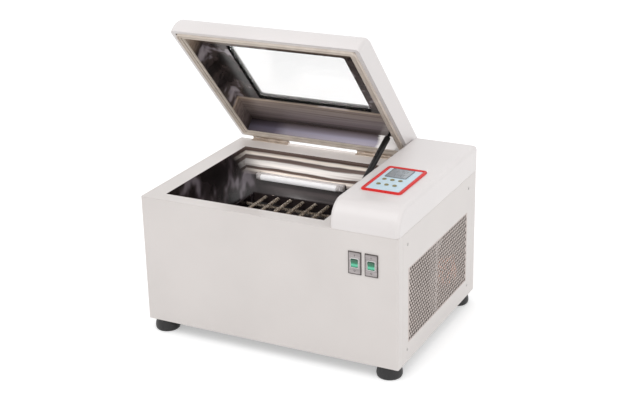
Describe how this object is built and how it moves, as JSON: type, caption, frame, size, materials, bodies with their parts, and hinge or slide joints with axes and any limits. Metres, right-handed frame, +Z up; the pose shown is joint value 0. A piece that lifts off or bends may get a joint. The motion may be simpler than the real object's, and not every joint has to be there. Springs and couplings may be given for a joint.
{
  "type": "incubated benchtop shaker",
  "caption": "Low box with a lift-up windowed lid over a heated and cooled chamber, an orbiting spring-rack platform and a control cover.",
  "frame": {"origin": "bottom centre of the whole machine with its lid open, on the plane of the feet", "axes": "+Z up, +Y towards the hinged rear, +X towards the control cover"},
  "size_m": [0.7432, 0.5928, 0.8162],
  "materials": {
    "white_enamel": "semi-gloss off-white powder coat",
    "white_enamel_bright": "gloss white enamel",
    "galvanised_steel": "zinc plated sheet",
    "polished_steel": "mirror polished stainless sheet",
    "steel": "machined steel",
    "aluminium": "mill finish",
    "foam": "rigid foam",
    "red_plastic": "gloss moulded",
    "keypad_film": "light blue satin film",
    "display_glass": "clear lens over a grey display",
    "key_plastic": "olive satin",
    "circuit_board": "solder mask",
    "switch_plate": "silver-grey face with a black edge",
    "rocker_green": "translucent green",
    "black_rubber": "matt",
    "seal_rubber": "beige silicone",
    "black_plastic": "moulded",
    "black_enamel": "gloss black",
    "copper": "bare copper tube",
    "clear_glass": "clear float glass",
    "lamp_white": "opal tube",
    "spring_steel": "bright spring wire"
  },
  "bodies": {
    "cabinet": {"rubber_feet": "black_rubber", "base_pan": "galvanised_steel", "front_panel": "white_enamel", "rear_panel": "white_enamel", "left_panel": "white_enamel", "right_panel": "white_enamel", "panel_screws": "steel", "vent_grille": "white_enamel", "top_deck": "white_enamel", "chamber_tub": "polished_steel", "chamber_insulation": "foam", "bulkhead": "galvanised_steel", "control_housing": "white_enamel_bright", "control_bezel": "red_plastic", "keypad_plate": "keypad_film", "lcd_window": "display_glass", "control_board": "circuit_board", "switch_frames": "switch_plate", "power_inlet": "black_plastic", "compressor": "black_enamel", "condenser_block": "aluminium", "capillary_coil": "copper", "fan_motors": "steel", "duct_cover": "polished_steel", "heater_element": "steel", "lamp_holders": "lamp_white", "lamp_tube": "lamp_white", "shaker_motor": "black_enamel", "drive_belt": "black_rubber", "bearing_housings": "steel", "hinge_lower_leaves": "steel", "strut_lower_stud": "steel"},
    "drive_crank": {"drive_crank": "steel"},
    "motor_pulley": {"motor_pulley": "aluminium"},
    "idler_crank_1": {"idler_crank_1": "steel"},
    "idler_crank_2": {"idler_crank_2": "steel"},
    "idler_crank_3": {"idler_crank_3": "steel"},
    "platform": {"platform_carrier": "aluminium", "platform_tray": "polished_steel", "rack_frame": "polished_steel", "rack_springs": "spring_steel"},
    "condenser_fan": {"condenser_fan": "black_plastic"},
    "circulation_fan": {"circulation_fan": "aluminium"},
    "lid": {"lid_shell": "white_enamel_bright", "lid_liner": "polished_steel", "window_panes": "clear_glass", "window_gasket": "black_rubber", "lid_seal": "seal_rubber", "hinge_upper_leaves": "steel", "strut_upper_stud": "steel"},
    "strut_cylinder": {"strut_cylinder": "black_enamel"},
    "strut_rod": {"strut_rod": "steel"},
    "rocker_power": {"rocker_power": "rocker_green"},
    "rocker_light": {"rocker_light": "rocker_green"},
    "key_1": {"key_1": "key_plastic"},
    "key_2": {"key_2": "key_plastic"},
    "key_3": {"key_3": "key_plastic"},
    "key_4": {"key_4": "key_plastic"},
    "key_5": {"key_5": "key_plastic"},
    "key_6": {"key_6": "key_plastic"}
  },
  "joints": [
    {"name": "lid_hinge", "type": "hinge", "parent": "cabinet", "child": "lid", "pos_m": [0, 0.2495, 0.39385], "axis": [-1, 0, 0], "range_deg": [-48, 0]},
    {"name": "strut_swing", "type": "hinge", "parent": "cabinet", "child": "strut_rod", "pos_m": [0.137, -0.0645, 0.361], "axis": [1, 0, 0], "range_deg": [-9.86, 0.05]},
    {"name": "strut_slide", "type": "slide", "parent": "strut_rod", "child": "strut_cylinder", "axis": [0, 0.9012, 0.4334], "range_m": [-0.07507, 0.0001]},
    {"name": "drive_spin", "type": "hinge", "parent": "cabinet", "child": "drive_crank", "pos_m": [-0.083, -0.0355, 0.183], "axis": [0, 0, 1], "continuous": true},
    {"name": "platform_orbit", "type": "hinge", "parent": "drive_crank", "child": "platform", "pos_m": [-0.073, -0.0355, 0.202], "axis": [0, 0, 1], "continuous": true},
    {"name": "motor_spin", "type": "hinge", "parent": "cabinet", "child": "motor_pulley", "pos_m": [0.067, -0.0355, 0.114], "axis": [0, 0, 1], "continuous": true},
    {"name": "idler_spin_1", "type": "hinge", "parent": "cabinet", "child": "idler_crank_1", "pos_m": [-0.233, -0.1505, 0.183], "axis": [0, 0, 1], "continuous": true},
    {"name": "idler_spin_2", "type": "hinge", "parent": "cabinet", "child": "idler_crank_2", "pos_m": [0.067, -0.1505, 0.183], "axis": [0, 0, 1], "continuous": true},
    {"name": "idler_spin_3", "type": "hinge", "parent": "cabinet", "child": "idler_crank_3", "pos_m": [-0.083, 0.0795, 0.183], "axis": [0, 0, 1], "continuous": true},
    {"name": "condenser_fan_spin", "type": "hinge", "parent": "cabinet", "child": "condenser_fan", "pos_m": [0.297, -0.1205, 0.1725], "axis": [1, 0, 0], "continuous": true},
    {"name": "circulation_fan_spin", "type": "hinge", "parent": "cabinet", "child": "circulation_fan", "pos_m": [0.15, -0.0005, 0.31002], "axis": [-1, 0, 0], "continuous": true},
    {"name": "rocker_power_tilt", "type": "hinge", "parent": "cabinet", "child": "rocker_power", "pos_m": [0.2535, -0.2885, 0.31], "axis": [-1, 0, 0], "range_deg": [0, 18]},
    {"name": "rocker_light_tilt", "type": "hinge", "parent": "cabinet", "child": "rocker_light", "pos_m": [0.2985, -0.2885, 0.31], "axis": [-1, 0, 0], "range_deg": [0, 18]},
    {"name": "key_1_press", "type": "slide", "parent": "cabinet", "child": "key_1", "axis": [0, 0, -1], "range_m": [0, 0.0012], "stiffness_N_per_m": 1500},
    {"name": "key_2_press", "type": "slide", "parent": "cabinet", "child": "key_2", "axis": [0, 0, -1], "range_m": [0, 0.0012], "stiffness_N_per_m": 1500},
    {"name": "key_3_press", "type": "slide", "parent": "cabinet", "child": "key_3", "axis": [0, 0, -1], "range_m": [0, 0.0012], "stiffness_N_per_m": 1500},
    {"name": "key_4_press", "type": "slide", "parent": "cabinet", "child": "key_4", "axis": [0, 0, -1], "range_m": [0, 0.0012], "stiffness_N_per_m": 1500},
    {"name": "key_5_press", "type": "slide", "parent": "cabinet", "child": "key_5", "axis": [0, 0, -1], "range_m": [0, 0.0012], "stiffness_N_per_m": 1500},
    {"name": "key_6_press", "type": "slide", "parent": "cabinet", "child": "key_6", "axis": [0, 0, -1], "range_m": [0, 0.0012], "stiffness_N_per_m": 1500}
  ],
  "couplings": [
    {"joint": "strut_swing", "follows": "lid_hinge", "ratio": 0.20436},
    {"joint": "strut_slide", "follows": "lid_hinge", "m_per_rad": 0.089488},
    {"joint": "platform_orbit", "follows": "drive_spin", "ratio": -1},
    {"joint": "motor_spin", "follows": "drive_spin", "ratio": 2.5966},
    {"joint": "idler_spin_1", "follows": "drive_spin", "ratio": 1},
    {"joint": "idler_spin_2", "follows": "drive_spin", "ratio": 1},
    {"joint": "idler_spin_3", "follows": "drive_spin", "ratio": 1}
  ]
}
